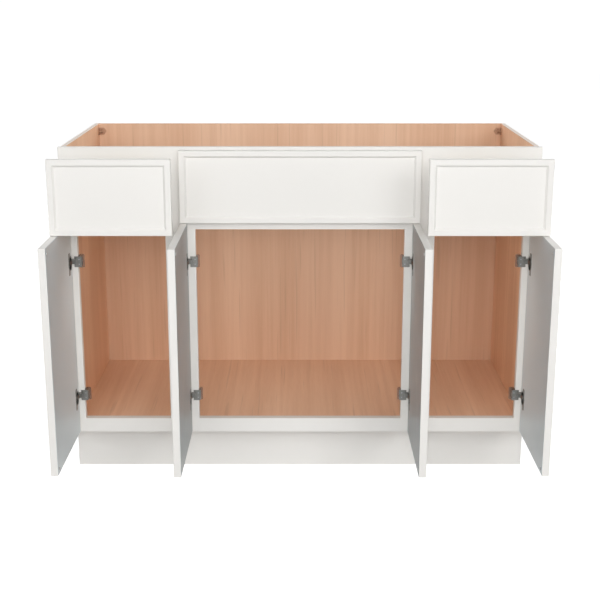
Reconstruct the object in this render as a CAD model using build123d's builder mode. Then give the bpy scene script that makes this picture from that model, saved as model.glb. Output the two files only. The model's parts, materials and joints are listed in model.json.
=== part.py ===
"""Framed sink base cabinet with four doors, two side drawers and a fixed false front.

Millimetres.  +X is to the right, +Y points back to the wall, +Z is up.  The origin is where the
wall meets the floor, halfway along the cabinet: the rear face is Y = 0 and the feet are Z = 0.
Doors and drawers are drawn as they are stored: doors open, drawers pulled part of the way out.
Each left-hand piece is drawn once, and its right-hand twin is the same piece mirrored about X = 0.
"""

from build123d import *
from math import asin, cos, degrees, radians, sin, sqrt
import os

INCH = 25.4

# Cabinet
CABINET_WIDTH = 48 * INCH
CABINET_HEIGHT = 34.5 * INCH
CABINET_DEPTH = 21 * INCH
PANEL_THICKNESS = 0.5 * INCH
JOINT_DEPTH = 0.25 * INCH            # how far dados and rabbets cut into a side panel
TOE_KICK_HEIGHT = 4.5 * INCH
TOE_KICK_RECESS = 1.8125 * INCH      # from the front of the face frame
FLOOR_DROP = 0.25 * INCH             # floor panel below the top of the bottom rail
FLOOR_SUPPORT_THICKNESS = 0.75 * INCH

# Face frame
FRAME_THICKNESS = 0.75 * INCH
FRAME_OVERHANG = 0.1875 * INCH       # frame past the outer face of a side panel
OUTER_STILE_WIDTH = 1.5 * INCH
MULLION_WIDTH = 3 * INCH
SIDE_OPENING_WIDTH = 8.9375 * INCH
TOP_RAIL_HEIGHT = 1.5 * INCH
MID_RAIL_HEIGHT = 1.5 * INCH
BOTTOM_RAIL_HEIGHT = 1.5 * INCH
DRAWER_OPENING_HEIGHT = 5.25 * INCH
FRAME_ARRIS = 0.8

# Doors, drawer fronts and false front
FRONT_THICKNESS = 18.0
FRONT_GAP = 2.4                      # between the face frame and the back of a closed front
FRONT_REVEAL = 0.25 * INCH           # face frame left uncovered round the outside
FRONT_SPACING = 0.125 * INCH         # between neighbouring fronts
FRONT_ROW_SPACING = 0.0625 * INCH    # between the doors and the fronts above them
RIM_WIDTH = 13.5                     # flat rim round the sunk panel
RIM_BEVEL = 5.0                      # width of the slope from rim to panel
PANEL_SINK = 5.0                     # panel below the rim
FRONT_ARRIS = 0.9
BUMPER_RADIUS = 4.0
BUMPER_INSET = 14.0                  # bumper centre from the edges of a front
BUMPER_CLEARANCE = 0.2               # bumper to face frame when the front is closed

# Concealed hinges
DOOR_OPEN_ANGLE = 90.0               # how far the stored doors stand open
HINGE_END_DISTANCE = 100.0           # hinge centre from the top and bottom of a door
AXIS_INSET = 4.0                     # turning axis from the hinge edge of the door
AXIS_DEPTH = 14.0                    # turning axis from the inner face of the door
CUP_RADIUS = 17.5
CUP_INSET = 22.5                     # cup centre from the hinge edge of the door
CUP_DEPTH = 12.5
CUP_WALL = 0.8
CUP_FIT = 0.15                       # cup in its bore, all round
FLANGE_THICKNESS = 0.8
FLANGE_RIM = 2.0                     # flange past the bore
FLANGE_EAR_WIDTH = 18.0
FLANGE_EAR_HEIGHT = 58.0
FLANGE_EAR_OFFSET = 8.5              # ear centre from the cup centre, away from the hinge edge
FLANGE_SCREW_SPACING = 45.0
FLANGE_SCREW_RADIUS = 2.1
LINK_RADIUS = 16.0                   # middle of the curved link, about the turning axis
LINK_THICKNESS = 1.6
LINK_HEIGHT = 9.6
LINK_START = 10.5                    # leading end of the link with the door shut, degrees
LINK_END = 70.0                      # trailing end of the link with the door shut, degrees
LINK_RATIO = 0.54                    # the link turns this share of the door's angle
LINK_CLEARANCE = 0.15
NOSE_HEIGHT = 11.0
NOSE_REACH = 2.6                     # nose tip behind the turning axis
NOSE_END = 24.0                      # far side of the nose from the turning axis
ARM_HEIGHT = 28.0
ARM_DROP = 2.6                       # middle of plate and leg below the middle of the nose
ARM_PLATE_THICKNESS = 1.2
ARM_PLATE_START = 18.5               # near edge of the plate from the turning axis
ARM_LEG_THICKNESS = 4.2              # where the door overlays the frame the most
ARM_LEG_DEPTH = 20.0                 # leg behind the front of the face frame
ARM_RECESS_DEPTH = 1.6
ARM_RECESS_MARGIN = 3.5
WING_HEIGHT = 35.0
WING_REACH = 4.6                     # wing past the face of the leg
WING_DROP = 1.8                      # middle of the wing below the middle of the leg
WING_CORNER = 4.0
WING_THICKNESS = 1.5

# Drawers and their slides
DRAWER_PULLED_OUT = 154.0            # stored position
SLIDE_LENGTH = 18 * INCH
SLIDE_SPACE = 0.5 * INCH             # opening edge to drawer side
SLIDE_SETBACK = 0.125 * INCH         # slide behind the front of the face frame
SLIDE_STEEL = 1.2
SLIDE_HEIGHT = 45.0
SLIDE_BALL_SPACE = 3.0               # between one member and the next
SLIDE_CLEARANCE = 0.2
SLIDE_MIDDLE_OFFSET = 4.0            # middle member's web from the cabinet member's back
SLIDE_LIP_CLEARANCE = 1.0            # member flange to the next member's web
SLIDE_STOP_LENGTH = 8.0              # middle member shorter than its neighbours at each end
RETAINER_LENGTH = 140.0
RETAINER_WIDTH = 4.0
REAR_BRACKET_HEIGHT = 30.0
REAR_BRACKET_OVERLAP = 50.0
REAR_BRACKET_FOOT = 18.0
BOX_SIDE_THICKNESS = 0.5 * INCH
BOX_HEIGHT = 4 * INCH
BOX_LIFT = 14.0                      # drawer box above the opening's lower edge
BOX_BOTTOM_THICKNESS = 0.25 * INCH
BOX_BOTTOM_LIFT = 0.5 * INCH
BOX_GROOVE_DEPTH = 0.25 * INCH
BOX_ARRIS = 2.0

# False front clips and countertop corner brackets
CLIP_THICKNESS = 1.5
CLIP_HEIGHT = 24.0
CLIP_LEG = 20.0
CLIP_END_DISTANCE = 26.0             # clip from the upper and lower edge of the opening
BRACKET_LEG = 21.0
BRACKET_HEIGHT = 20.0
BRACKET_WALL = 2.5
BRACKET_DROP = 11.5                  # bracket top below the top of the cabinet
BRACKET_WEB_EDGE = 5.0               # straight ends of the web between the legs
BRACKET_HOLE_RADIUS = 2.2
BRACKET_HOLE_INSET = 8.0
BRACKET_POINT = 6.5                  # length of the pointed end of a leg
BRACKET_TIP = 3.0                    # height of the flat at the point

# Places worked out from the sizes above
half_width = CABINET_WIDTH / 2
frame_front = -CABINET_DEPTH
frame_back = frame_front + FRAME_THICKNESS
side_outer = half_width - FRAME_OVERHANG
side_inner = side_outer - PANEL_THICKNESS
back_inner = -PANEL_THICKNESS
stile_edge = half_width - OUTER_STILE_WIDTH
mullion_outer = stile_edge - SIDE_OPENING_WIDTH
mullion_inner = mullion_outer - MULLION_WIDTH
bottom_rail_top = TOE_KICK_HEIGHT + BOTTOM_RAIL_HEIGHT
top_rail_bottom = CABINET_HEIGHT - TOP_RAIL_HEIGHT
mid_rail_top = top_rail_bottom - DRAWER_OPENING_HEIGHT
mid_rail_bottom = mid_rail_top - MID_RAIL_HEIGHT
floor_top = bottom_rail_top - FLOOR_DROP
floor_bottom = floor_top - PANEL_THICKNESS
toe_front = frame_front + TOE_KICK_RECESS
toe_back = toe_front + PANEL_THICKNESS

fronts_outer = half_width - FRONT_REVEAL
mullion_centre = (mullion_outer + mullion_inner) / 2
fronts_split_outer = mullion_centre + FRONT_SPACING / 2
fronts_split_inner = mullion_centre - FRONT_SPACING / 2
mid_rail_centre = (mid_rail_bottom + mid_rail_top) / 2
door_bottom = TOE_KICK_HEIGHT + FRONT_REVEAL
door_top = mid_rail_centre - FRONT_SPACING / 2
upper_bottom = door_top + FRONT_ROW_SPACING
upper_top = CABINET_HEIGHT - FRONT_REVEAL
upper_centre = (upper_bottom + upper_top) / 2
hinge_heights = (door_bottom + HINGE_END_DISTANCE, door_top - HINGE_END_DISTANCE)
bumper_thickness = FRONT_GAP - BUMPER_CLEARANCE

axis_y = frame_front - FRONT_GAP - AXIS_DEPTH
frame_from_axis = FRONT_GAP + AXIS_DEPTH
bevel_angle = 90 - degrees(asin(PANEL_SINK / sqrt(PANEL_SINK**2 + RIM_BEVEL**2)))

os.makedirs("parts", exist_ok=True)


def save(piece, name):
    """Label a finished piece and write it to its own file."""
    piece.label = name
    export_step(piece, f"parts/{name}.step")


def save_pair(left, name):
    """Write a left-hand piece and its mirrored right-hand twin."""
    save(left.part, f"{name}_left")
    with BuildPart() as right:
        mirror(left.part, about=Plane.YZ)
    save(right.part, f"{name}_right")


def span(low, high):
    """Middle and length of the stretch between two coordinates."""
    return (low + high) / 2, abs(high - low)


def block(x_range, y_range, z_range, mode=Mode.ADD):
    """Rectangular stretch of board between two coordinates along each axis."""
    (x, length), (y, width), (_, height) = span(*x_range), span(*y_range), span(*z_range)
    with BuildSketch(Plane.XY.offset(min(z_range))) as outline:
        with Locations((x, y)):
            Rectangle(length, width)
    extrude(outline.sketch, amount=height, mode=mode)


# ---------------------------------------------------------------- carcass
with BuildPart() as side_panel:
    with BuildSketch(Plane.YZ.offset(-side_outer)):
        with BuildLine():
            Polyline(
                (0, 0), (toe_back, 0), (toe_back, TOE_KICK_HEIGHT), (frame_back, TOE_KICK_HEIGHT),
                (frame_back, CABINET_HEIGHT), (0, CABINET_HEIGHT), close=True,
            )
        make_face()
    extrude(amount=PANEL_THICKNESS)
    joint_x = (-side_inner - JOINT_DEPTH, -side_inner)
    block(joint_x, (back_inner, 0), (0, CABINET_HEIGHT), Mode.SUBTRACT)
    block(joint_x, (frame_back, back_inner), (floor_bottom, floor_top), Mode.SUBTRACT)
save_pair(side_panel, "side_panel")

panel_half = side_inner + JOINT_DEPTH
with BuildPart() as back_panel:
    block((-panel_half, panel_half), (back_inner, 0), (0, CABINET_HEIGHT))
save(back_panel.part, "back_panel")

with BuildPart() as floor_panel:
    block((-panel_half, panel_half), (frame_back, back_inner), (floor_bottom, floor_top))
save(floor_panel.part, "floor_panel")

with BuildPart() as floor_support:
    support_half = FLOOR_SUPPORT_THICKNESS / 2
    block((-support_half, support_half), (toe_back, back_inner), (0, floor_bottom))
save(floor_support.part, "floor_support")

with BuildPart() as toe_kick_board:
    block((-side_outer, side_outer), (toe_front, toe_back), (0, TOE_KICK_HEIGHT))
save(toe_kick_board.part, "toe_kick_board")

# ---------------------------------------------------------------- face frame
with BuildPart() as outer_stile:
    block((-half_width, -stile_edge), (frame_front, frame_back), (TOE_KICK_HEIGHT, CABINET_HEIGHT))
    outer_arris = outer_stile.edges().filter_by(Axis.Z).group_by(Axis.X)[0]
    chamfer(outer_arris.sort_by(Axis.Y)[0], FRAME_ARRIS)
save_pair(outer_stile, "frame_stile")

with BuildPart() as mullion:
    mullion_x = (-mullion_outer, -mullion_inner)
    block(mullion_x, (frame_front, frame_back), (bottom_rail_top, top_rail_bottom))
save_pair(mullion, "frame_mullion")

for rail_name, rail_z in (
    ("frame_top_rail", (top_rail_bottom, CABINET_HEIGHT)),
    ("frame_bottom_rail", (TOE_KICK_HEIGHT, bottom_rail_top)),
):
    with BuildPart() as long_rail:
        block((-stile_edge, stile_edge), (frame_front, frame_back), rail_z)
    save(long_rail.part, rail_name)

with BuildPart() as side_mid_rail:
    block((-stile_edge, -mullion_outer), (frame_front, frame_back), (mid_rail_bottom, mid_rail_top))
save_pair(side_mid_rail, "frame_mid_rail")

with BuildPart() as centre_mid_rail:
    block((-mullion_inner, mullion_inner), (frame_front, frame_back), (mid_rail_bottom, mid_rail_top))
save(centre_mid_rail.part, "frame_mid_rail_centre")


# ---------------------------------------------------------------- fronts
def sunk_front(face, width, height):
    """Slim-rimmed front drawn on its face plane, outward side first.

    The panel is sunk behind a flat rim, with one slope between the two, and the arris is eased.
    """
    with BuildSketch(face) as outline:
        Rectangle(width, height)
    board = extrude(outline.sketch, amount=-FRONT_THICKNESS)
    front_edges = board.faces().sort_by(Axis(face.origin, face.z_dir))[-1].edges()
    chamfer(front_edges, FRONT_ARRIS)
    with BuildSketch(face) as sinking:
        Rectangle(width - 2 * RIM_WIDTH, height - 2 * RIM_WIDTH)
    extrude(sinking.sketch, amount=-PANEL_SINK, taper=bevel_angle, mode=Mode.SUBTRACT)


front_outer_face = frame_front - FRONT_GAP - FRONT_THICKNESS
with BuildPart() as false_front:
    false_face = Plane(origin=(0, front_outer_face, upper_centre), x_dir=(1, 0, 0), z_dir=(0, -1, 0))
    sunk_front(false_face, 2 * fronts_split_inner, upper_top - upper_bottom)
save(false_front.part, "false_front")

# Angle clips hold the false front: one leg on its back, one on the edge of the opening.
with BuildPart() as false_front_clips:
    clip_back = frame_front - FRONT_GAP
    clip_profile = [
        (-mullion_inner, clip_back),
        (-mullion_inner + CLIP_LEG, clip_back),
        (-mullion_inner + CLIP_LEG, clip_back + CLIP_THICKNESS),
        (-mullion_inner + CLIP_THICKNESS, clip_back + CLIP_THICKNESS),
        (-mullion_inner + CLIP_THICKNESS, frame_back),
        (-mullion_inner, frame_back),
    ]
    for clip_z in (mid_rail_top + CLIP_END_DISTANCE, top_rail_bottom - CLIP_END_DISTANCE):
        with BuildSketch(Plane.XY.offset(clip_z - CLIP_HEIGHT / 2)):
            with BuildLine():
                Polyline(*clip_profile, close=True)
            make_face()
        extrude(amount=CLIP_HEIGHT)
    mirror(about=Plane.YZ)
save(false_front_clips.part, "false_front_clips")


# ---------------------------------------------------------------- doors and their hinges
def turned_plane(edge, angle):
    """Plane at the turning axis of a door whose hinge edge is at X = edge when shut.

    Its X runs along the door and its Y from the door to the cabinet, as the door stands when it is
    open by the given angle.
    """
    turn = radians(-angle)
    return Plane(origin=(edge + AXIS_INSET, axis_y, 0), x_dir=(cos(turn), sin(turn), 0), z_dir=(0, 0, 1))


def door_board(plane, width):
    """Door with its sunk face outward and the two bores for the hinge cups in its inner face."""
    centre = (width / 2 - AXIS_INSET, AXIS_DEPTH - FRONT_THICKNESS, (door_bottom + door_top) / 2)
    face = Plane(origin=plane.from_local_coords(centre), x_dir=plane.x_dir, z_dir=-plane.y_dir)
    sunk_front(face, width, door_top - door_bottom)
    for height in hinge_heights:
        with BuildSketch(cup_plane(plane, height)) as bore:
            Circle(CUP_RADIUS)
        extrude(bore.sketch, amount=-CUP_DEPTH, mode=Mode.SUBTRACT)


def cup_plane(plane, height):
    """Plane on the inner face of a door at a cup's centre, facing out of the door."""
    centre = plane.from_local_coords((CUP_INSET - AXIS_INSET, AXIS_DEPTH, height))
    return Plane(origin=centre, x_dir=plane.x_dir, z_dir=plane.y_dir)


def hinge_cup(plane, height):
    """Cup with its screw flange and the curved saddle that the link slides over."""
    mouth = cup_plane(plane, height)
    cup_radius = CUP_RADIUS - CUP_FIT
    bowl_radius = cup_radius - CUP_WALL
    saddle_radius = LINK_RADIUS - LINK_THICKNESS / 2 - LINK_CLEARANCE
    with BuildSketch(mouth) as flange:
        Circle(CUP_RADIUS + FLANGE_RIM)
        with Locations((FLANGE_EAR_OFFSET, 0)):
            RectangleRounded(FLANGE_EAR_WIDTH, FLANGE_EAR_HEIGHT, FLANGE_EAR_WIDTH / 3)
            with Locations((0, FLANGE_SCREW_SPACING / 2), (0, -FLANGE_SCREW_SPACING / 2)):
                Circle(FLANGE_SCREW_RADIUS, mode=Mode.SUBTRACT)
    extrude(flange.sketch, amount=FLANGE_THICKNESS)
    with BuildSketch(mouth) as shell:
        Circle(cup_radius)
    extrude(shell.sketch, amount=-(CUP_DEPTH - CUP_FIT))
    with BuildSketch(mouth.offset(FLANGE_THICKNESS)) as bowl:
        Circle(bowl_radius)
    bowl_depth = CUP_DEPTH - CUP_FIT - CUP_WALL + FLANGE_THICKNESS
    extrude(bowl.sketch, amount=-bowl_depth, mode=Mode.SUBTRACT)
    with BuildPart(mode=Mode.PRIVATE) as saddle:
        with BuildSketch(plane.offset(height - LINK_HEIGHT / 2)):
            Circle(saddle_radius)
        extrude(amount=LINK_HEIGHT)
        with BuildSketch(mouth):
            Circle(bowl_radius + CUP_WALL / 2)
        extrude(amount=-(CUP_DEPTH - CUP_FIT), mode=Mode.INTERSECT)
    add(saddle.part)


def hinge_link(plane, height):
    """Curved strap about the turning axis, between the nose of the arm and the cup."""
    outer = LINK_RADIUS + LINK_THICKNESS / 2
    inner = LINK_RADIUS - LINK_THICKNESS / 2
    with BuildSketch(plane.offset(height - LINK_HEIGHT / 2)) as strap:
        with BuildLine():
            sweep_angle = LINK_END - LINK_START
            outside = CenterArc((0, 0), outer, LINK_START, sweep_angle)
            inside = CenterArc((0, 0), inner, LINK_START, sweep_angle)
            Line(outside @ 0, inside @ 0)
            Line(outside @ 1, inside @ 1)
        make_face()
    extrude(strap.sketch, amount=LINK_HEIGHT)


def hinge_arm(plane, overlay, leg_face, height):
    """Arm that wraps the edge of the face frame.

    A nose guides the link, a plate lies on the front of the stile, a leg runs back along the edge
    of the opening, and a thin wing with round corners stands at the end of the leg.  The face of the
    leg stands at the given distance from the turning axis.
    """
    guide = LINK_RADIUS + LINK_THICKNESS / 2 + LINK_CLEARANCE
    tip_angle = degrees(asin(NOSE_REACH / guide))
    edge = overlay - AXIS_INSET
    plate_front = frame_from_axis - ARM_PLATE_THICKNESS
    leg_back = frame_from_axis + ARM_LEG_DEPTH
    arm_middle = height - ARM_DROP
    with BuildSketch(plane.offset(height - NOSE_HEIGHT / 2)) as nose:
        with BuildLine():
            concave = CenterArc((0, 0), guide, tip_angle, LINK_END - tip_angle)
            Polyline(
                concave @ 1, ((concave @ 1).X, frame_from_axis), (NOSE_END, frame_from_axis),
                (NOSE_END, NOSE_REACH), concave @ 0,
            )
        make_face()
    extrude(nose.sketch, amount=NOSE_HEIGHT)
    with BuildSketch(plane.offset(arm_middle - ARM_HEIGHT / 2)) as wrap:
        with BuildLine():
            Polyline(
                (ARM_PLATE_START, frame_from_axis), (ARM_PLATE_START, plate_front),
                (leg_face, plate_front), (leg_face, leg_back),
                (edge, leg_back), (edge, frame_from_axis), close=True,
            )
        make_face()
    extrude(wrap.sketch, amount=ARM_HEIGHT)
    recess_centre = plane.from_local_coords((leg_face, (plate_front + leg_back) / 2, arm_middle))
    with BuildSketch(Plane(origin=recess_centre, x_dir=plane.y_dir, z_dir=plane.x_dir)) as recess:
        recess_length = leg_back - plate_front - 2 * ARM_RECESS_MARGIN
        RectangleRounded(recess_length, ARM_HEIGHT - 2 * ARM_RECESS_MARGIN, ARM_RECESS_MARGIN)
    extrude(recess.sketch, amount=-ARM_RECESS_DEPTH, mode=Mode.SUBTRACT)
    wing_width = leg_face + WING_REACH - edge
    wing_centre = plane.from_local_coords((edge + wing_width / 2, leg_back, arm_middle - WING_DROP))
    with BuildSketch(Plane(origin=wing_centre, x_dir=plane.x_dir, z_dir=-plane.y_dir)) as wing:
        RectangleRounded(wing_width, WING_HEIGHT, min(WING_CORNER, wing_width / 2.1))
    extrude(wing.sketch, amount=WING_THICKNESS)


def bumper_spots(plane, width):
    """Planes on the inner face of a door at the two corners away from the hinges."""
    along = width - AXIS_INSET - BUMPER_INSET
    centres = [
        plane.from_local_coords((along, AXIS_DEPTH, height))
        for height in (door_bottom + BUMPER_INSET, door_top - BUMPER_INSET)
    ]
    return [Plane(origin=centre, x_dir=plane.x_dir, z_dir=plane.y_dir) for centre in centres]


outer_overlay = fronts_outer - stile_edge
inner_overlay = fronts_split_inner - mullion_inner
outer_door = ("outer", -fronts_outer, fronts_outer - fronts_split_outer, outer_overlay)
inner_door = ("inner", -fronts_split_inner, fronts_split_inner - FRONT_SPACING / 2, inner_overlay)
# The leg's face stands equally far from the turning axis on every hinge, whatever the overlay.
arm_leg_face = max(outer_overlay, inner_overlay) - AXIS_INSET + ARM_LEG_THICKNESS

for place, hinge_edge, door_width, overlay in (outer_door, inner_door):
    shut_plane = turned_plane(hinge_edge, 0)
    open_plane = turned_plane(hinge_edge, DOOR_OPEN_ANGLE)
    link_plane = turned_plane(hinge_edge, DOOR_OPEN_ANGLE * LINK_RATIO)

    with BuildPart() as door:
        door_board(open_plane, door_width)
    save_pair(door, f"door_{place}")

    with BuildPart() as door_bumpers:
        for spot in bumper_spots(open_plane, door_width):
            with BuildSketch(spot):
                Circle(BUMPER_RADIUS)
            extrude(amount=bumper_thickness, taper=12)
    save_pair(door_bumpers, f"door_bumpers_{place}")

    with BuildPart() as hinge_cups:
        for hinge_z in hinge_heights:
            hinge_cup(open_plane, hinge_z)
    save_pair(hinge_cups, f"hinge_cups_{place}")

    with BuildPart() as hinge_links:
        for hinge_z in hinge_heights:
            hinge_link(link_plane, hinge_z)
    save_pair(hinge_links, f"hinge_links_{place}")

    with BuildPart() as hinge_arms:
        for hinge_z in hinge_heights:
            hinge_arm(shut_plane, overlay, arm_leg_face, hinge_z)
    save_pair(hinge_arms, f"hinge_arms_{place}")


# ---------------------------------------------------------------- drawers
drawer_back_face = frame_front - FRONT_GAP - DRAWER_PULLED_OUT
box_front = drawer_back_face
box_rear = box_front + SLIDE_LENGTH
box_outer = -stile_edge + SLIDE_SPACE
box_inner = -mullion_outer - SLIDE_SPACE
box_bottom = mid_rail_top + BOX_LIFT
box_top = box_bottom + BOX_HEIGHT
box_z = (box_bottom, box_top)
slide_z = (box_bottom + box_top) / 2
bottom_low = box_bottom + BOX_BOTTOM_LIFT
bottom_z = (bottom_low, bottom_low + BOX_BOTTOM_THICKNESS)
box_x = (box_outer + BOX_SIDE_THICKNESS, box_inner - BOX_SIDE_THICKNESS)
bottom_x = (box_x[0] - BOX_GROOVE_DEPTH, box_x[1] + BOX_GROOVE_DEPTH)
bottom_y = (
    box_front + BOX_SIDE_THICKNESS - BOX_GROOVE_DEPTH, box_rear - BOX_SIDE_THICKNESS + BOX_GROOVE_DEPTH,
)

with BuildPart() as drawer_front:
    drawer_x, drawer_width = span(-fronts_outer, -fronts_split_outer)
    drawer_centre = (drawer_x, drawer_back_face - FRONT_THICKNESS, upper_centre)
    drawer_face = Plane(origin=drawer_centre, x_dir=(1, 0, 0), z_dir=(0, -1, 0))
    sunk_front(drawer_face, drawer_width, upper_top - upper_bottom)
save_pair(drawer_front, "drawer_front")

with BuildPart() as drawer_bumpers:
    bumper_x = (-fronts_outer + BUMPER_INSET, -fronts_split_outer - BUMPER_INSET)
    bumper_z = (upper_bottom + BUMPER_INSET, upper_top - BUMPER_INSET)
    with BuildSketch(Plane.XZ.offset(-drawer_back_face)):
        with Locations([(x, z) for x in bumper_x for z in bumper_z]):
            Circle(BUMPER_RADIUS)
    extrude(amount=-bumper_thickness, taper=12)
save_pair(drawer_bumpers, "drawer_bumpers")

# The box sides run the whole length, grooved for the bottom and rounded along the top.
with BuildPart() as box_sides:
    for outer_x, inner_x in ((box_outer, box_x[0]), (box_inner, box_x[1])):
        block((outer_x, inner_x), (box_front, box_rear), box_z)
    top_arrises = box_sides.edges().filter_by(Axis.Y).group_by(Axis.Z)[-1]
    fillet(top_arrises, BOX_ARRIS)
    block(bottom_x, bottom_y, bottom_z, Mode.SUBTRACT)
save_pair(box_sides, "drawer_box_sides")

with BuildPart() as box_front_board:
    block(box_x, (box_front, box_front + BOX_SIDE_THICKNESS), box_z)
    block(box_x, bottom_y, bottom_z, Mode.SUBTRACT)
save_pair(box_front_board, "drawer_box_front")

with BuildPart() as box_back_board:
    block(box_x, (box_rear - BOX_SIDE_THICKNESS, box_rear), box_z)
    block(box_x, bottom_y, bottom_z, Mode.SUBTRACT)
save_pair(box_back_board, "drawer_box_back")

with BuildPart() as box_bottom_board:
    block(bottom_x, bottom_y, bottom_z)
save_pair(box_bottom_board, "drawer_bottom")


# ---------------------------------------------------------------- drawer slides
def channel(back_x, lip_x, half_height, y_range):
    """Folded steel channel along Y: its web is at back_x and its flanges reach to lip_x."""
    toward = 1 if lip_x > back_x else -1
    wall = toward * SLIDE_STEEL
    top = half_height
    with BuildSketch(Plane.XZ.offset(-y_range[0])) as section:
        with BuildLine():
            Polyline(
                (back_x, slide_z - top), (lip_x, slide_z - top), (lip_x, slide_z - top + SLIDE_STEEL),
                (back_x + wall, slide_z - top + SLIDE_STEEL),
                (back_x + wall, slide_z + top - SLIDE_STEEL),
                (lip_x, slide_z + top - SLIDE_STEEL), (lip_x, slide_z + top), (back_x, slide_z + top),
                close=True,
            )
        make_face()
    extrude(section.sketch, amount=-(y_range[1] - y_range[0]))


def retainer(middle_x, half_height, side, y_range):
    """Pair of ball retainer strips above and below, lying on the outer or inner side of a flange."""
    strip = SLIDE_BALL_SPACE - SLIDE_CLEARANCE
    for direction in (1, -1):
        near = half_height if side > 0 else half_height - SLIDE_STEEL
        low, high = sorted((slide_z + direction * near, slide_z + direction * (near + side * strip)))
        x_half = RETAINER_WIDTH / 2
        block((middle_x - x_half, middle_x + x_half), y_range, (low, high))


slide_front = frame_front + SLIDE_SETBACK
cabinet_half = SLIDE_HEIGHT / 2
middle_half = cabinet_half - SLIDE_STEEL - SLIDE_BALL_SPACE
drawer_half = middle_half - SLIDE_STEEL - SLIDE_BALL_SPACE
middle_shift = DRAWER_PULLED_OUT / 2
cabinet_member_y = (slide_front, slide_front + SLIDE_LENGTH)
middle_front = slide_front + SLIDE_STOP_LENGTH - middle_shift
middle_member_y = (middle_front, middle_front + SLIDE_LENGTH - 2 * SLIDE_STOP_LENGTH)
drawer_member_y = (slide_front - DRAWER_PULLED_OUT, box_rear)
slide_places = ((-stile_edge, 1), (-mullion_outer, -1))

with BuildPart() as cabinet_members:
    for opening_edge, inward in slide_places:
        lip = opening_edge + inward * (SLIDE_SPACE - SLIDE_STEEL - SLIDE_LIP_CLEARANCE)
        channel(opening_edge, lip, cabinet_half, cabinet_member_y)
save_pair(cabinet_members, "slide_cabinet_members")

with BuildPart() as middle_members:
    for opening_edge, inward in slide_places:
        web = opening_edge + inward * SLIDE_MIDDLE_OFFSET
        lip = opening_edge + inward * (SLIDE_SPACE - SLIDE_STEEL - SLIDE_LIP_CLEARANCE)
        channel(web, lip, middle_half, middle_member_y)
        strip_x = (web + lip) / 2 + inward * SLIDE_STEEL / 2
        rear_stretch = (middle_member_y[1] - RETAINER_LENGTH, middle_member_y[1])
        front_stretch = (middle_member_y[0], middle_member_y[0] + RETAINER_LENGTH)
        retainer(strip_x, middle_half, 1, rear_stretch)
        retainer(strip_x, middle_half, -1, front_stretch)
save_pair(middle_members, "slide_middle_members")

with BuildPart() as drawer_members:
    for opening_edge, inward in slide_places:
        drawer_side = opening_edge + inward * SLIDE_SPACE
        lip = opening_edge + inward * (SLIDE_MIDDLE_OFFSET + SLIDE_STEEL + SLIDE_LIP_CLEARANCE)
        channel(drawer_side, lip, drawer_half, drawer_member_y)
save_pair(drawer_members, "slide_drawer_members")

# Rear brackets carry the cabinet members from the back panel.
with BuildPart() as rear_brackets:
    member_end = cabinet_member_y[1]
    for opening_edge, inward in slide_places:
        outside = opening_edge - inward * CLIP_THICKNESS
        foot = opening_edge + inward * REAR_BRACKET_FOOT
        with BuildSketch(Plane.XY.offset(slide_z - REAR_BRACKET_HEIGHT / 2)):
            with BuildLine():
                Polyline(
                    (opening_edge, member_end - REAR_BRACKET_OVERLAP),
                    (outside, member_end - REAR_BRACKET_OVERLAP), (outside, back_inner),
                    (foot, back_inner), (foot, back_inner - CLIP_THICKNESS),
                    (opening_edge, back_inner - CLIP_THICKNESS), close=True,
                )
            make_face()
        extrude(amount=REAR_BRACKET_HEIGHT)
save_pair(rear_brackets, "slide_rear_brackets")


# ---------------------------------------------------------------- countertop corner brackets
def bracket_leg(plane):
    """Flat leg along the plane's X with a pointed end, standing on the plane by its wall."""
    half = BRACKET_HEIGHT / 2
    with BuildSketch(plane) as leg:
        with BuildLine():
            Polyline(
                (0, -half), (BRACKET_LEG - BRACKET_POINT, -half), (BRACKET_LEG, -BRACKET_TIP / 2),
                (BRACKET_LEG, BRACKET_TIP / 2), (BRACKET_LEG - BRACKET_POINT, half), (0, half),
                close=True,
            )
        make_face()
    extrude(leg.sketch, amount=BRACKET_WALL)


bracket_centre = CABINET_HEIGHT - BRACKET_DROP - BRACKET_HEIGHT / 2
with BuildPart() as corner_brackets:
    for corner_y, into in ((back_inner, -1), (frame_back, 1)):
        corner = (-side_inner, corner_y, bracket_centre)
        bracket_leg(Plane(origin=corner, x_dir=(1, 0, 0), z_dir=(0, into, 0)))
        bracket_leg(Plane(origin=corner, x_dir=(0, into, 0), z_dir=(1, 0, 0)))
        web_end = BRACKET_LEG - BRACKET_POINT
        with BuildSketch(Plane.XY.offset(bracket_centre - BRACKET_WALL / 2)):
            with BuildLine():
                Polyline(
                    (-side_inner, corner_y), (-side_inner + web_end, corner_y),
                    (-side_inner + web_end, corner_y + into * BRACKET_WEB_EDGE),
                    (-side_inner + BRACKET_WEB_EDGE, corner_y + into * web_end),
                    (-side_inner, corner_y + into * web_end), close=True,
                )
            make_face()
            with Locations((-side_inner + BRACKET_HOLE_INSET, corner_y + into * BRACKET_HOLE_INSET)):
                Circle(BRACKET_HOLE_RADIUS, mode=Mode.SUBTRACT)
        extrude(amount=BRACKET_WALL)
    mirror(about=Plane.YZ)
save(corner_brackets.part, "corner_brackets")
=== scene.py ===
"""Finish, small hardware and studio for a framed sink base cabinet with its doors and drawers open."""

import json

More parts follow.
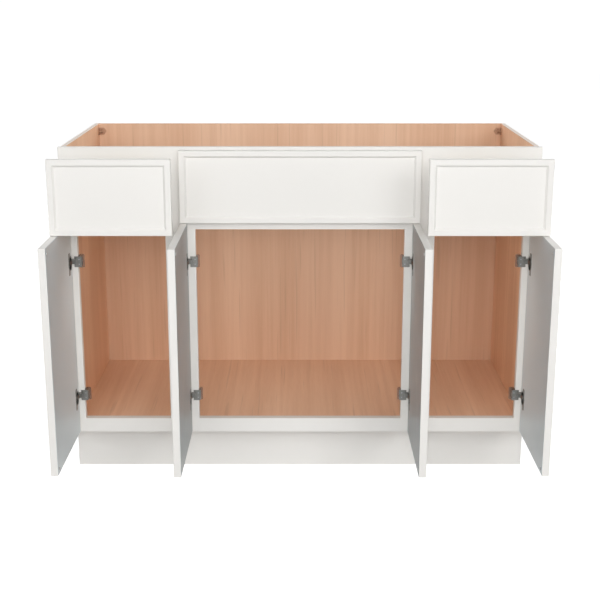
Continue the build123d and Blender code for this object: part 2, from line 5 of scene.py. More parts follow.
import bpy
import numpy as np
from bpy.props import FloatProperty, FloatVectorProperty, IntProperty, PointerProperty
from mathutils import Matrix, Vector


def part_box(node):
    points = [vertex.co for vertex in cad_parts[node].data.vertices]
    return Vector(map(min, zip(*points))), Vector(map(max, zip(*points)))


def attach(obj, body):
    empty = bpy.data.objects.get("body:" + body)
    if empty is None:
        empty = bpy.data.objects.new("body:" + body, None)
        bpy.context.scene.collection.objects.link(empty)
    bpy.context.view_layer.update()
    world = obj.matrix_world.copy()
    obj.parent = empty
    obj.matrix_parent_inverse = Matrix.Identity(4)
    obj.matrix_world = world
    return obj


bl_info = {
    "name": "Sink Base Cabinet Finish",
    "version": (1, 0, 0),
    "blender": (4, 5, 0),
    "location": "3D View > Sidebar > Cabinet",
    "description": "Paint, veneer, small hardware and studio of a sink base cabinet",
    "category": "Object",
}

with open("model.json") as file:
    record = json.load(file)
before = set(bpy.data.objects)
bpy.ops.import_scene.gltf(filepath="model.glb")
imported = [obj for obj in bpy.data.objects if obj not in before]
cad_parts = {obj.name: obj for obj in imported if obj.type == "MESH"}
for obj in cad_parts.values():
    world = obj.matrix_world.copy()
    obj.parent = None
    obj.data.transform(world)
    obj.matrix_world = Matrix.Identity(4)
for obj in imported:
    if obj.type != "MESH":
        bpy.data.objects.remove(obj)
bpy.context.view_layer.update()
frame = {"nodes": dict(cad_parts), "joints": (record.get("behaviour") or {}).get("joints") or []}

MM = 0.001
SKIN = 0.3 * MM  # how near a face a point lies to be counted as on it

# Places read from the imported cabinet, in metres.
BACK_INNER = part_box("back_panel")[0].y
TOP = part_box("back_panel")[1].z
FRAME_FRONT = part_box("frame_top_rail")[0].y
STILE_EDGE = -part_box("frame_stile_left")[1].x
MULLION_INNER = -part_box("frame_mullion_left")[1].x
MULLION_OUTER = -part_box("frame_mullion_left")[0].x
SIDE_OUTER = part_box("side_panel_right")[1].x
SIDE_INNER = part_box("side_panel_right")[0].x
DOOR_BOTTOM, DOOR_TOP = (corner.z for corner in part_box("door_outer_left"))
HINGE_AXES = {
    joint["child"][len("door_") :]: joint["pos_m"]
    for joint in frame["joints"]
    if joint["child"].startswith("door_")
}
SLIDE_HEIGHT = sum(corner.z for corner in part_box("slide_cabinet_members_left")) / 2
BOX_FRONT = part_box("drawer_box_front_left")[0].y
BOX_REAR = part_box("drawer_box_back_left")[1].y
SLIDE_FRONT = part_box("slide_cabinet_members_left")[0].y
SLIDE_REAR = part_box("slide_cabinet_members_left")[1].y

# Hinge measures, from the turning axis of a shut door: a place is (into the doorway, back).
HINGE_FROM_END = 100 * MM  # middle of a cup from the end of its door
HINGE_HEIGHTS = (DOOR_BOTTOM + HINGE_FROM_END, DOOR_TOP - HINGE_FROM_END)
EAR_PLACE = (27 * MM, 14.8 * MM)  # on the flange of the cup
SPRING_PLACE = (12 * MM, 8 * MM)
RIVET_PLACE = (20.6 * MM, 8 * MM)
PIN_PLACE = (30.8 * MM, 15.2 * MM)  # on the front of the arm's plate
LEG_FLOOR = 35.1 * MM  # floor of the recess in the leg's face
CAM_PLACE = (LEG_FLOOR, 22.5 * MM)
LEG_SCREW_PLACE = (LEG_FLOOR, 29.4 * MM)
WING_FRONT = 34.7 * MM
ARM_DROP = 2.6 * MM  # middle of the arm below the middle of the cup
EAR_RISE, SPRING_RISE, RIVET_RISE, PIN_RISE = 22.5 * MM, 6.2 * MM, 5.5 * MM, 6.3 * MM  # from the middle
CAM_HEIGHT, RIVET_HEIGHT, PIN_HEIGHT = 1.2 * MM, 0.6 * MM, 0.5 * MM
RIVET_FACETS = 16

# Slide measures, sideways from the edge of the frame that carries the slide.
CABINET_WEB = 1.2 * MM
DRAWER_WEB = 11.5 * MM
REAR_FOOT = 11 * MM  # middle of the rear bracket's foot
REAR_FOOT_THICKNESS = 1.5 * MM
REAR_FOOT_SCREW_RISE = 8 * MM
WEB_FIRST_SCREW, WEB_LAST_SCREW = 9 * MM, 20 * MM  # from the ends of the cabinet member
DRAWER_SIDE_SCREW_INSET = 30 * MM

# Places of the other screws, from the edges of what they hold.
DRAWER_FRONT_SCREW_IN, DRAWER_FRONT_SCREW_UP, DRAWER_FRONT_SCREW_DOWN = 35 * MM, 30 * MM, 24 * MM
CLIP_THICKNESS = 1.5 * MM
CLIP_SCREW_INSET = 12 * MM
CLIP_JAMB_SCREW_BACK = 10 * MM
BRACKET_WALL = 2.5 * MM
BRACKET_SCREW_OUT = 9 * MM  # from the corner of the carcass
BRACKET_SCREW_INSET = 5 * MM

# Marks of the grain: width across the fibres and length along them.
BANDS = (80 * MM, 1600 * MM)
GROWTH = (16 * MM, 800 * MM)
PORES = (1.6 * MM, 50 * MM)  # real ones are 0.2 mm wide and would not show
DARK_LINES = (7 * MM, 300 * MM)
BAND_SHARE, GROWTH_SHARE, PORE_SHARE = 0.45, 0.43, 0.12
PLY_LAYER = 1.4 * MM

# Painted light and shade: each sheet of veneer is made darker or brighter beside the others, the back
# darker and the floor and sides brighter, for how the light falls on it.
BACK_PAINTED_LIGHT = 0.93
FLOOR_PAINTED_LIGHT = 1.05
SIDE_PAINTED_LIGHT = 1.14

# Lamps: name, the setting that holds its power, side of its square and place, in metres.
LAMPS = (
    ("Soft front lamp", "soft", 5.0, (0, -6.0, 4.0)),
    ("High front lamp", "high", 2.6, (0, -4.6, 6.0)),
    ("Eye level lamp", "level", 1.2, (0, -5.5, 1.7)),
    ("Right front lamp", "right", 2.6, (3.6, -6.6, 3.0)),
    ("Left front lamp", "left", 2.6, (-3.6, -6.6, 3.0)),
    ("Left rear lamp", "rear", 2.0, (-3.0, 1.9, 2.2)),
    ("Right rear lamp", "rear", 2.0, (3.0, 1.9, 2.2)),
)
FLOOR_HALF = 15.0
FLOOR_DROP = 0.2 * MM  # floor just below the cabinet's feet
FLOOR_COLOUR = "#CECECE"
# The paper's own glow grows from 1.2 m to 3 m away from the middle of the wall line, and is less near
# it to keep the shadow.
FLOOR_GLOW = {"From Min": 1.2, "From Max": 3.0, "To Min": 0.85, "To Max": 1.0}
BACKDROP_WHITE = 1.03

# Camera fitted to the photograph.
CAMERA_PLACE = (0, -3.423, 1.2618)
CAMERA_PITCH = 0.2644  # radians below level
SENSOR_WIDTH, LENS = 36.0, 69.136  # in millimetres


def linear(code):
    """Linear red, green, blue and alpha of an sRGB hex colour such as #F1EFEA."""
    channels = np.array([int(code[i : i + 2], 16) for i in (1, 3, 5)]) / 255
    low, high = channels / 12.92, ((channels + 0.055) / 1.055) ** 2.4
    return (*np.where(channels <= 0.04045, low, high).tolist(), 1.0)


# ---------------------------------------------------------------- settings
def colour_setting(name, description, code):
    """Colour that a user may change, with its default as an sRGB hex value."""
    return FloatVectorProperty(
        name=name, description=description, subtype="COLOR", size=4, min=0, max=1, default=linear(code)
    )


def length_setting(name, description, millimetres):
    """Length that a user may change, with its default in millimetres."""
    return FloatProperty(
        name=name, description=description, unit="LENGTH", precision=5, min=0, default=millimetres * MM
    )


def power_setting(name, description, watts):
    """Power of a lamp that a user may change."""
    return FloatProperty(name=name, description=description, unit="POWER", min=0, default=watts)


class CabinetColours(bpy.types.PropertyGroup):
    """Colours of the cabinet's finishes."""

    paint: colour_setting("Paint", "Satin white lacquer on frame, fronts and toe kick", "#F2F0EC")
    # Painted shade: the doors' inner faces have the same white lacquer, and the next two colours are
    # greys for the shade on them, darker on the middle doors and cooled against the warm light bounced
    # off the veneer.
    outer_door_painted_shade: colour_setting("Seal outer", "Cooler seal coat inside the outer doors", "#DBE3E6")
    middle_door_painted_shade: colour_setting("Seal inner", "Greyer seal coat inside the two middle doors", "#ADB4B6")
    veneer_light: colour_setting("Veneer light", "Pale bands of the maple veneer", "#EFC7A8")
    veneer_dark: colour_setting("Veneer dark", "Dark streaks of the maple veneer", "#E1B594")
    ply_light: colour_setting("Ply light", "Pale layers of a plywood edge", "#EFE5DB")
    ply_dark: colour_setting("Ply dark", "Dark layers of a plywood edge", "#E6D3C3")
    box_light: colour_setting("Box light", "Pale bands of the birch drawer boxes", "#F3EADB")
    box_dark: colour_setting("Box dark", "Dark streaks of the birch drawer boxes", "#E9DCC6")
    nickel: colour_setting("Nickel", "Nickel plate on the hinges", "#848481")
    # Painted shade and reflection: the wings are the same nickel, and this brown stands for their shade
    # and the veneer mirrored in them.
    wing_shade_and_reflection: colour_setting("Nickel shade", "Aged nickel on the wings of the hinge arms", "#967666")
    zinc: colour_setting("Zinc", "Zinc plate on slides, clips and screws", "#A9ACAF")
    nylon: colour_setting("Nylon", "Brown nylon of the corner brackets", "#B68C70")
    bronze: colour_setting("Bronze", "Bronzed screws of the corner brackets", "#A07C64")
    # Painted shade: the bumpers are clear, and this grey stands for the shaded door face seen through
    # them.
    bumper: colour_setting("Bumper", "Clear soft bumpers", "#C4C6C5")


class HardwareSizes(bpy.types.PropertyGroup):
    """Sizes of the screws, rivets and springs."""

    head_radius: length_setting("Head radius", "Radius of a pan head screw", 3.4)
    head_height: length_setting("Head height", "Height of a pan head screw", 1.5)
    small_head_radius: length_setting("Small head radius", "Radius of a hinge or bracket screw", 2.6)
    small_head_height: length_setting("Small head height", "Height of a hinge or bracket screw", 0.9)
    cam_radius: length_setting("Cam radius", "Radius of the depth cam on a hinge arm", 3.3)
    pin_radius: length_setting("Pin radius", "Radius of the adjusting pins in a hinge arm", 1.6)
    rivet_radius: length_setting("Rivet radius", "Radius of the rivet through the nose of an arm", 1.9)
    spring_radius: length_setting("Spring radius", "Radius of the coil spring in a hinge cup", 2.2)
    spring_wire: length_setting("Spring wire", "Radius of the wire of the coil spring", 0.45)
    spring_length: length_setting("Spring length", "Length of the coil spring", 5)
    around: IntProperty(name="Facets", description="Facets round a screw head", default=24, min=12)


class StudioLight(bpy.types.PropertyGroup):
    """Strength of the studio's lamps."""

    soft: power_setting("Soft", "Large soft lamp above the camera", 158)
    high: power_setting("High", "Lamp high in front", 40)
    level: power_setting("Level", "Lamp in front at eye level", 41)
    right: power_setting("Right", "Lamp in front on the right", 101)
    left: power_setting("Left", "Lamp in front on the left", 48)
    rear: power_setting("Rear", "Lamps beside and behind", 70)
    ambient: FloatProperty(name="Ambient", description="Light from all round", default=0.03, min=0)


# ---------------------------------------------------------------- materials
def add(tree, kind, sockets=(), **settings):
    """Add a node with its settings; sockets gives each input a value or another node's output."""
    node = tree.nodes.new(kind)
    for setting, value in settings.items():
        setattr(node, setting, value)
    for key, value in dict(sockets).items():
        if isinstance(value, bpy.types.NodeSocket):
            tree.links.new(value, node.inputs[key])
        else:
            node.inputs[key].default_value = value
    return node


def new_finish(name, **constants):
    """Material with a Principled shader whose constants are set on its own sockets."""
    finish = bpy.data.materials.new(name)
    finish.use_nodes = True
    shader = finish.node_tree.nodes["Principled BSDF"]
    for socket, value in constants.items():
        shader.inputs[socket.replace("_", " ")].default_value = value
    return finish, finish.node_tree, shader


def streaks(tree, across, along, axis, detail=2.0):
    """Noise of about 0.3 to 0.7 stretched along one axis; across and along are its grain in metres."""
    place = add(tree, "ShaderNodeTexCoord").outputs["Object"]
    scale = [1 / across] * 3
    scale[axis] = 1 / along
    stretched = add(tree, "ShaderNodeMapping", {"Vector": place, "Scale": scale})
    noise = {"Vector": stretched.outputs[0], "Scale": 1.0, "Detail": detail, "Roughness": 0.55}
    return add(tree, "ShaderNodeTexNoise", noise).outputs["Fac"]


def wood_grain(tree, axis, light, dark, tone=1.0):
    """Colour and pores of a straight-grained veneer whose fibres run along one axis.

    Broad bands, growth streaks and pores are added by their shares, and a few thin dark lines lie over
    them. The brightness factor it is given is painted light or shade for how the light falls on that
    board.
    """
    bands = streaks(tree, *BANDS, axis, 1.0)
    growth = streaks(tree, *GROWTH, axis, 3.0)
    pores = streaks(tree, *PORES, axis)
    marks = add(tree, "ShaderNodeMath", {0: bands, 1: BAND_SHARE}, operation="MULTIPLY")
    for kind, share in ((growth, GROWTH_SHARE), (pores, PORE_SHARE)):
        mixed = {0: kind, 1: share, 2: marks.outputs[0]}
        marks = add(tree, "ShaderNodeMath", mixed, operation="MULTIPLY_ADD")
    spread = {"Value": marks.outputs[0], "From Min": 0.38, "From Max": 0.62}
    shade = add(tree, "ShaderNodeMapRange", spread)
    plain = {0: shade.outputs[0], 6: toned(dark, tone), 7: toned(light, tone)}
    colour = add(tree, "ShaderNodeMix", plain, data_type="RGBA")
    lines = streaks(tree, *DARK_LINES, axis, 1.0)
    rare = {"Value": lines, "From Min": 0.64, "From Max": 0.74, "To Max": 0.45}
    line = add(tree, "ShaderNodeMapRange", rare)
    lined = {0: line.outputs[0], 6: colour.outputs[2], 7: toned(dark, tone * 0.8)}
    return add(tree, "ShaderNodeMix", lined, data_type="RGBA").outputs[2], pores


def toned(colour, tone):
    """The colour with its brightness times tone, and its alpha kept."""
    return (*(channel * tone for channel in colour[:3]), colour[3])


def ply_layers(tree, across, light, dark):
    """Colour of a plywood edge: layers counted along the coordinate across the board."""
    layer = add(tree, "ShaderNodeMath", {0: across, 1: 1 / (2 * PLY_LAYER)}, operation="MULTIPLY")
    turn = add(tree, "ShaderNodeMath", {0: layer.outputs[0]}, operation="FRACT")
    odd = add(tree, "ShaderNodeMath", {0: turn.outputs[0], 1: 0.5}, operation="GREATER_THAN")
    layers = {0: odd.outputs[0], 6: light, 7: dark}
    return add(tree, "ShaderNodeMix", layers, data_type="RGBA").outputs[2]


def slight_relief(tree, shader, height, depth):
    """Raise the surface by a height between 0 and 1, times depth in metres."""
    relief = {"Height": height, "Strength": 1.0, "Distance": depth}
    bump = add(tree, "ShaderNodeBump", relief)
    tree.links.new(bump.outputs[0], shader.inputs["Normal"])


def wandering_sheen(tree, shader, marks, first, last):
    """Let the roughness go from first to last as the marks go from 0.3 to 0.7."""
    sheen = {"Value": marks, "From Min": 0.3, "From Max": 0.7, "To Min": first, "To Max": last}
    tree.links.new(add(tree, "ShaderNodeMapRange", sheen).outputs[0], shader.inputs["Roughness"])


def satin_paint(name, inner_at=None, inner_face_shade=None):
    """Sprayed satin lacquer on maple rails and MDF fronts: soft sheen, faint orange peel 2 mm wide.

    A door's mesh stands open, with its inner face inner_at from the middle plane of the cabinet. That
    face is given painted shade: its white is swapped for a grey that stands for the shade falling on it.
    """
    colours = bpy.context.scene.cabinet_colours
    finish, tree, shader = new_finish(name, Base_Color=colours.paint, IOR=1.5)
    # Painted shade: points on the door's inner face take the grey shade colour instead of the white
    # lacquer.
    if inner_at is not None:
        place = add(tree, "ShaderNodeTexCoord").outputs["Object"]
        across = add(tree, "ShaderNodeSeparateXYZ", {0: place}).outputs["X"]
        from_middle = add(tree, "ShaderNodeMath", {0: across}, operation="ABSOLUTE")
        near = {0: from_middle.outputs[0], 1: inner_at + SKIN}
        on_inside = add(tree, "ShaderNodeMath", near, operation="LESS_THAN")
        lacquer_or_shade = {0: on_inside.outputs[0], 6: colours.paint, 7: inner_face_shade}
        lacquer_shade = add(tree, "ShaderNodeMix", lacquer_or_shade, data_type="RGBA")
        tree.links.new(lacquer_shade.outputs[2], shader.inputs["Base Color"])
    peel = streaks(tree, 2 * MM, 2 * MM, 0, 1.0)
    cloud = streaks(tree, 120 * MM, 120 * MM, 0)
    wandering_sheen(tree, shader, cloud, 0.36, 0.46)
    slight_relief(tree, shader, peel, 0.006 * MM)
    return finish


def veneer(name, axis, tone, face_axis=None, face_at=0.0):
    """Clear-coated maple veneer plywood: warm straight grain, low sheen, layered edge.

    Points beyond face_at along face_axis lie on a cut edge and show the layers of the ply.
    """
    colours = bpy.context.scene.cabinet_colours
    finish, tree, shader = new_finish(name, IOR=1.5)
    # The brightness factor makes this board's veneer a painted shade darker or a painted light brighter.
    colour, pores = wood_grain(tree, axis, colours.veneer_light, colours.veneer_dark, tone)
    if face_axis is not None:
        place = add(tree, "ShaderNodeTexCoord").outputs["Object"]
        split = add(tree, "ShaderNodeSeparateXYZ", {0: place})
        edge = {0: split.outputs[face_axis], 1: face_at - SKIN}
        on_edge = add(tree, "ShaderNodeMath", edge, operation="GREATER_THAN")
        layers = ply_layers(tree, split.outputs["Y"], colours.veneer_light, colours.veneer_dark)
        picked = {0: on_edge.outputs[0], 6: colour, 7: layers}
        colour = add(tree, "ShaderNodeMix", picked, data_type="RGBA").outputs[2]
    tree.links.new(colour, shader.inputs["Base Color"])
    wandering_sheen(tree, shader, pores, 0.5, 0.38)
    slight_relief(tree, shader, pores, 0.05 * MM)
    return finish


def side_board():
    """Plywood side: sprayed white outside, clear-coated maple veneer inside, pale layered edges."""
    colours = bpy.context.scene.cabinet_colours
    finish, tree, shader = new_finish("Side plywood white outside veneer inside", IOR=1.5)
    # Painted light: the veneer inside the sides is made brighter than the other sheets.
    inside, pores = wood_grain(tree, 2, colours.veneer_light, colours.veneer_dark, SIDE_PAINTED_LIGHT)
    place = add(tree, "ShaderNodeTexCoord").outputs["Object"]
    split = add(tree, "ShaderNodeSeparateXYZ", {0: place})
    out = add(tree, "ShaderNodeMath", {0: split.outputs["X"]}, operation="ABSOLUTE")
    face = {0: out.outputs[0], 1: SIDE_OUTER - SKIN}
    outside = add(tree, "ShaderNodeMath", face, operation="GREATER_THAN")
    top = add(tree, "ShaderNodeMath", {0: split.outputs["Z"], 1: TOP - SKIN}, operation="GREATER_THAN")
    rear = add(tree, "ShaderNodeMath", {0: split.outputs["Y"], 1: -SKIN}, operation="GREATER_THAN")
    edge = add(tree, "ShaderNodeMath", {0: top.outputs[0], 1: rear.outputs[0]}, operation="MAXIMUM")
    layers = ply_layers(tree, out.outputs[0], colours.ply_light, colours.ply_dark)
    cut = add(tree, "ShaderNodeMix", {0: edge.outputs[0], 6: inside, 7: layers}, data_type="RGBA")
    painted = {0: outside.outputs[0], 6: cut.outputs[2], 7: colours.paint}
    colour = add(tree, "ShaderNodeMix", painted, data_type="RGBA")
    tree.links.new(colour.outputs[2], shader.inputs["Base Color"])
    shader.inputs["Roughness"].default_value = 0.42
    slight_relief(tree, shader, pores, 0.03 * MM)
    return finish


def box_wood(name, axis):
    """Clear-coated birch of the drawer boxes: pale, even grain, low sheen."""
    colours = bpy.context.scene.cabinet_colours
    finish, tree, shader = new_finish(name, IOR=1.5, Roughness=0.42)
    colour, pores = wood_grain(tree, axis, colours.box_light, colours.box_dark)
    tree.links.new(colour, shader.inputs["Base Color"])
    slight_relief(tree, shader, pores, 0.04 * MM)
    return finish


def plated_steel(name, colour, first, last, grain):
    """Pressed and plated steel: full metal, its roughness from first to last with the rolling marks."""
    finish, tree, shader = new_finish(name, Base_Color=colour, Metallic=1.0)
    marks = streaks(tree, grain, grain * 6, 1)
    wandering_sheen(tree, shader, marks, first, last)
    slight_relief(tree, shader, marks, 0.008 * MM)
    return finish


def hinge_nickel():
    """Nickel-plated pressed steel of the hinges; the wings behind the face frame get a painted brown for
    their shade and the veneer they reflect.
    """
    colours = bpy.context.scene.cabinet_colours
    finish = plated_steel("Nickel plated hinge steel", colours.nickel, 0.28, 0.42, 0.9 * MM)
    tree = finish.node_tree
    place = add(tree, "ShaderNodeTexCoord").outputs["Object"]
    split = add(tree, "ShaderNodeSeparateXYZ", {0: place})
    # Painted shade and reflection: points behind the front of the wing take the brown colour instead of
    # the nickel.
    behind = {0: split.outputs["Y"], 1: HINGE_AXES["outer_left"][1] + WING_FRONT}
    on_wing = add(tree, "ShaderNodeMath", behind, operation="GREATER_THAN")
    nickel_or_wing_shade = {0: on_wing.outputs[0], 6: colours.nickel, 7: colours.wing_shade_and_reflection}
    colour = add(tree, "ShaderNodeMix", nickel_or_wing_shade, data_type="RGBA")
    tree.links.new(colour.outputs[2], tree.nodes["Principled BSDF"].inputs["Base Color"])
    return finish


def brown_nylon():
    """Injection-moulded nylon: matt, with a fine spark-eroded grain."""
    colours = bpy.context.scene.cabinet_colours
    constants = {"Base_Color": colours.nylon, "Roughness": 0.5, "IOR": 1.53}
    finish, tree, shader = new_finish("Moulded brown nylon", **constants)
    slight_relief(tree, shader, streaks(tree, 0.4 * MM, 0.4 * MM, 0), 0.02 * MM)
    return finish


def clear_bumper():
    """Cast polyurethane dot, nearly clear and soft; its grey is painted shade, the tone of the shaded
    door face behind it.
    """
    colours = bpy.context.scene.cabinet_colours
    constants = {"Base_Color": colours.bumper, "Roughness": 0.3, "IOR": 1.48}
    return new_finish("Clear polyurethane bumper", **constants, Transmission_Weight=0.15)[0]


def dress(finish, *starts):
    """Give a finish to every CAD node whose name starts with one of the words."""
    for name, node in frame["nodes"].items():
        if name.startswith(starts):
            node.data.materials.clear()
            node.data.materials.append(finish)


# ---------------------------------------------------------------- surfaces
def turned_surface(profile, around, pit=None):
    """Closed turned shape as (vertices, faces).

    The profile is a row of (radius, height) rings from the top to the bottom. Ring and angle are the
    two parameters: x = r cos a, y = r sin a, z = h less the depth that pit gives at that x and y. A
    point in the middle of the first ring and one in the middle of the last close the shape.
    """
    radius, height = np.array(profile, float).T
    angle = np.linspace(0, 2 * np.pi, around, endpoint=False)
    x, y = radius[:, None] * np.cos(angle), radius[:, None] * np.sin(angle)
    z = np.repeat(height[:, None], around, axis=1)
    if pit is not None:
        z = z - pit(x, y)
    rings = np.stack([x, y, z], axis=-1).reshape(-1, 3)
    top_depth = 0.0 if pit is None else float(pit(np.zeros(1), np.zeros(1))[0])
    poles = np.array([[0, 0, height[0] - top_depth], [0, 0, height[-1]]])
    return np.vstack([rings, poles]), ring_faces(len(radius), around)


def ring_faces(rings, around):
    """Faces of a closed stack of rings whose two poles are the last two vertices."""
    ring, step = np.meshgrid(np.arange(rings - 1), np.arange(around), indexing="ij")
    following = (step + 1) % around
    low, high = ring * around, (ring + 1) * around
    sides = np.stack([low + step, high + step, high + following, low + following], axis=-1)
    spoke = np.arange(around)
    beside = (spoke + 1) % around
    first, last = rings * around, rings * around + 1
    base = (rings - 1) * around
    top = np.stack([np.full(around, first), spoke, beside], axis=-1)
    bottom = np.stack([np.full(around, last), base + beside, base + spoke], axis=-1)
    return [*sides.reshape(-1, 4).tolist(), *top.tolist(), *bottom.tolist()]


def cross_pit(arm, half_width, depth):
    """Depth of a cross drive: full inside either bar of the cross, fading to nothing at its edges."""

    def bar(across, along):
        """Share of the depth: 3 - 3 |across| / half width times 2 - 2 |along| / arm, each 0 to 1."""
        sides = np.clip(3 - 3 * np.abs(across) / half_width, 0, 1)
        ends = np.clip(2 - 2 * np.abs(along) / arm, 0, 1)
        return sides * ends

    def pit(x, y):
        return depth * np.maximum(bar(x, y), bar(y, x))

    return pit


def slot_pit(reach, half_width, depth):
    """Depth of a straight slot across a head: full inside the slot, nothing outside."""

    def pit(x, y):
        inside = (np.abs(y) < half_width) & (np.hypot(x, y) < reach)
        return np.where(inside, depth, 0.0)

    return pit


def pan_head(radius, height, around):
    """Pan head screw with a cross drive: the crown is h = H (1 - (r / R)^4 / 2), above a low rim."""
    share = np.array([0.06, 0.14, 0.22, 0.3, 0.4, 0.52, 0.64, 0.76, 0.87, 0.95, 1.0])
    crown = np.stack([radius * share, height * (1 - 0.5 * share**4)], axis=1)
    rim = [[radius, height * 0.12], [radius * 0.94, 0.0]]
    drive = cross_pit(radius * 0.62, radius * 0.16, height * 0.5)
    return turned_surface([*crown.tolist(), *rim], around, drive)


def cam_head(radius, height, around):
    """Flat cam with a straight slot: every ring at full height but the last, at four fifths of it."""
    share = np.array([0.1, 0.25, 0.4, 0.55, 0.7, 0.82, 0.92, 1.0])
    top = np.stack([radius * share, height * np.where(share < 0.95, 1, 0.8)], axis=1)
    drive = slot_pit(radius * 0.9, radius * 0.2, height * 0.45)
    return turned_surface([*top.tolist(), [radius, 0.0]], around, drive)


def rivet_head(radius, height, around):
    """Domed rivet head, a quarter ellipse: r = R sin t and h = H cos t."""
    turn = np.linspace(0.15, 1.0, 6) * np.pi / 2
    profile = np.stack([radius * np.sin(turn), height * np.cos(turn)], axis=1)
    return turned_surface(profile, around)


def coil_spring(radius, wire, length):
    """Coil spring along Z: a circle of the wire's radius carried along a helix of five turns.

    The helix is x = R cos a, y = R sin a, z = L a / (5 turns); the circle lies square to its tangent.
    """
    turns, steps, around = 5, 80, 8
    angle = np.linspace(0, 2 * np.pi * turns, steps)
    rise = length * angle / angle[-1]
    centre = np.stack([radius * np.cos(angle), radius * np.sin(angle), rise], axis=1)
    outward = np.stack([np.cos(angle), np.sin(angle), np.zeros(steps)], axis=1)
    pitch = np.full(steps, length / angle[-1])
    tangent = np.stack([-radius * np.sin(angle), radius * np.cos(angle), pitch], axis=1)
    tangent /= np.linalg.norm(tangent, axis=1, keepdims=True)
    upward = np.cross(outward, tangent)
    turn = np.linspace(0, 2 * np.pi, around, endpoint=False)[:, None]
    ring = outward[:, None] * np.cos(turn) + upward[:, None] * np.sin(turn)
    rings = (centre[:, None] + wire * ring).reshape(-1, 3)
    return np.vstack([rings, centre[:1], centre[-1:]]), ring_faces(steps, around)


def set_out(shape, spots):
    """Copies of a shape at spots, each a (place, outward direction), as one set of vertices and faces.

    A vertex goes to place + x side + y other + z out, three directions that are square to each other.
    """
    vertices, faces = shape
    places = np.array([spot[0] for spot in spots], float)
    out = np.array([spot[1] for spot in spots], float)
    helper = np.where(np.abs(out[:, 2:]) > 0.5, [[1.0, 0, 0]], [[0, 0, 1.0]])
    side = np.cross(helper, out)
    side /= np.linalg.norm(side, axis=1, keepdims=True)
    other = np.cross(out, side)
    axes = np.stack([side, other, out], axis=1)
    placed = places[:, None] + np.einsum("vk,nkj->nvj", vertices, axes)
    count = len(vertices)
    repeated = [[corner + n * count for corner in face] for n in range(len(spots)) for face in faces]
    return placed.reshape(-1, 3), repeated


def new_piece(name, shape, finish, body):
    """Mesh object in the row frame that rides on a body of the cabinet."""
    vertices, faces = shape
    mesh = bpy.data.meshes.new(name)
    mesh.from_pydata(np.asarray(vertices, float).tolist(), [], faces)
    mesh.polygons.foreach_set("use_smooth", np.full(len(mesh.polygons), True))
    mesh.materials.append(finish)
    mesh.update()
    piece = bpy.data.objects.new(name, mesh)
    bpy.context.scene.collection.objects.link(piece)
    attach(piece, body)


def side_sign(place):
    """Direction along X from the hinges into the doorway: +1 for a left-hand door, else -1."""
    return 1 if place.endswith("left") else -1


def on_frame(place, along, back, height):
    """Point fixed to the cabinet, by its distances from a door's turning axis."""
    axis_x, axis_y, _ = HINGE_AXES[place]
    return (axis_x + side_sign(place) * along, axis_y + back, height)


def on_open_door(place, along, back, height):
    """Point fixed to an open door, by its distances from the turning axis when the door is shut."""
    axis_x, axis_y, _ = HINGE_AXES[place]
    return (axis_x + side_sign(place) * back, axis_y - along, height)


# ---------------------------------------------------------------- operators
class CABINET_OT_paint(bpy.types.Operator):
    """Lacquer the face frame, fronts and toe kick white"""

    bl_idname = "cabinet.paint"
    bl_label = "Lacquer frame and fronts"

    def execute(self, context):
        fronts = ("drawer_front_left", "drawer_front_right", "false_front")
        dress(satin_paint("Satin white lacquer"), "frame_", "toe_kick_board", *fronts)
        colours = context.scene.cabinet_colours
        # Painted shade on the doors' inner faces: one grey for each pair, darker for the middle pair.
        for place, inner_face_shade in (("outer", colours.outer_door_painted_shade), ("inner", colours.middle_door_painted_shade)):
            inner_at = -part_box(f"door_{place}_left")[1].x
            lacquer = satin_paint(f"Satin white lacquer on {place} doors", inner_at, inner_face_shade)
            dress(lacquer, f"door_{place}")
        return {"FINISHED"}


class CABINET_OT_boards(bpy.types.Operator):
    """Veneer the side panels, back and floor"""

    bl_idname = "cabinet.boards"
    bl_label = "Veneer the carcass"

    def execute(self, context):
        dress(side_board(), "side_panel")
        # Painted shade on the back's veneer, which is made darker, and painted light on the floor's,
        # made brighter.
        dress(veneer("Maple veneer upright grain", 2, BACK_PAINTED_LIGHT, "Z", TOP), "back_panel")
        dress(veneer("Maple veneer grain front to back", 1, FLOOR_PAINTED_LIGHT), "floor_panel", "floor_support")
        return {"FINISHED"}


class CABINET_OT_drawer_boxes(bpy.types.Operator):
    """Finish the drawer boxes and screw the drawer fronts to them"""

    bl_idname = "cabinet.drawer_boxes"
    bl_label = "Finish drawer boxes"

    def execute(self, context):
        along, across = box_wood("Birch grain front to back", 1), box_wood("Birch grain side to side", 0)
        dress(along, "drawer_box_sides", "drawer_bottom")
        dress(across, "drawer_box_front", "drawer_box_back")
        sizes = context.scene.cabinet_hardware
        head = pan_head(sizes.head_radius, sizes.head_height, sizes.around)
        zinc = bpy.data.materials["Zinc plated steel"]
        for side in ("left", "right"):
            low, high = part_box(f"drawer_box_front_{side}")
            places = [
                (x, high.y, z)
                for x in (low.x + DRAWER_FRONT_SCREW_IN, high.x - DRAWER_FRONT_SCREW_IN)
                for z in (low.z + DRAWER_FRONT_SCREW_UP, high.z - DRAWER_FRONT_SCREW_DOWN)
            ]
            screws = set_out(head, [(place, (0, 1, 0)) for place in places])
            new_piece(f"drawer_front_screws_{side}", screws, zinc, f"drawer_{side}")
        return {"FINISHED"}


